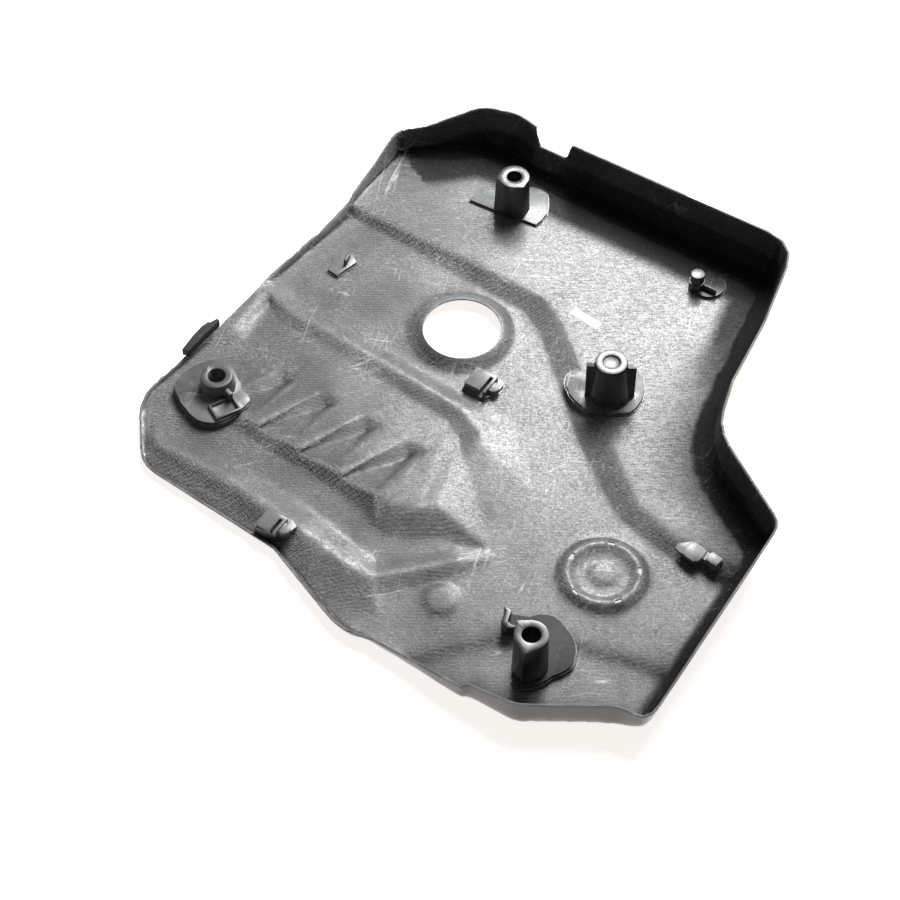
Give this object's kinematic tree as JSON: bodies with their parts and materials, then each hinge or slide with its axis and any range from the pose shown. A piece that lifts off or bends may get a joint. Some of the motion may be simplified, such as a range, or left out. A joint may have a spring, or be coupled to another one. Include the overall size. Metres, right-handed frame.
{
  "type": "engine cover",
  "caption": "Moulded woven-composite engine cover, seen from its hollow side, with bonded mounting posts and clips.",
  "frame": {"origin": "middle of the outline on the plane of the outer face, which is the bottom of the bounding box", "axes": "+Z out of the hollow side, along the shortest extent; +X along the louvre row; +Y towards the tall rear rim"},
  "size_m": [0.6072, 0.6016, 0.0726],
  "materials": {
    "woven_composite": "resin-rich woven fibre, satin, unpolished inner side",
    "black_plastic": "moulded, reused, with cut edges",
    "grey_plastic": "moulded, worn and smeared with resin",
    "label_white": "blank adhesive label",
    "torn_rubber": "torn and rough",
    "adhesive": "cured structural adhesive"
  },
  "bodies": {
    "root": {"shell": "woven_composite", "upper_post": "black_plastic", "centre_post": "black_plastic", "lower_post": "black_plastic", "left_post": "grey_plastic", "locating_stub": "black_plastic", "rear_clip": "grey_plastic", "middle_clip": "grey_plastic", "front_clip": "grey_plastic", "right_clip": "grey_plastic", "blank_label": "label_white", "rim_pad": "torn_rubber", "upper_bond": "adhesive", "centre_bond": "adhesive", "lower_bond": "adhesive", "left_bond": "adhesive", "stub_bond": "adhesive", "rear_clip_bond": "adhesive", "middle_clip_bond": "adhesive", "front_clip_bond": "adhesive", "right_clip_bond": "adhesive", "rim_pad_bond": "adhesive"}
  },
  "joints": []
}
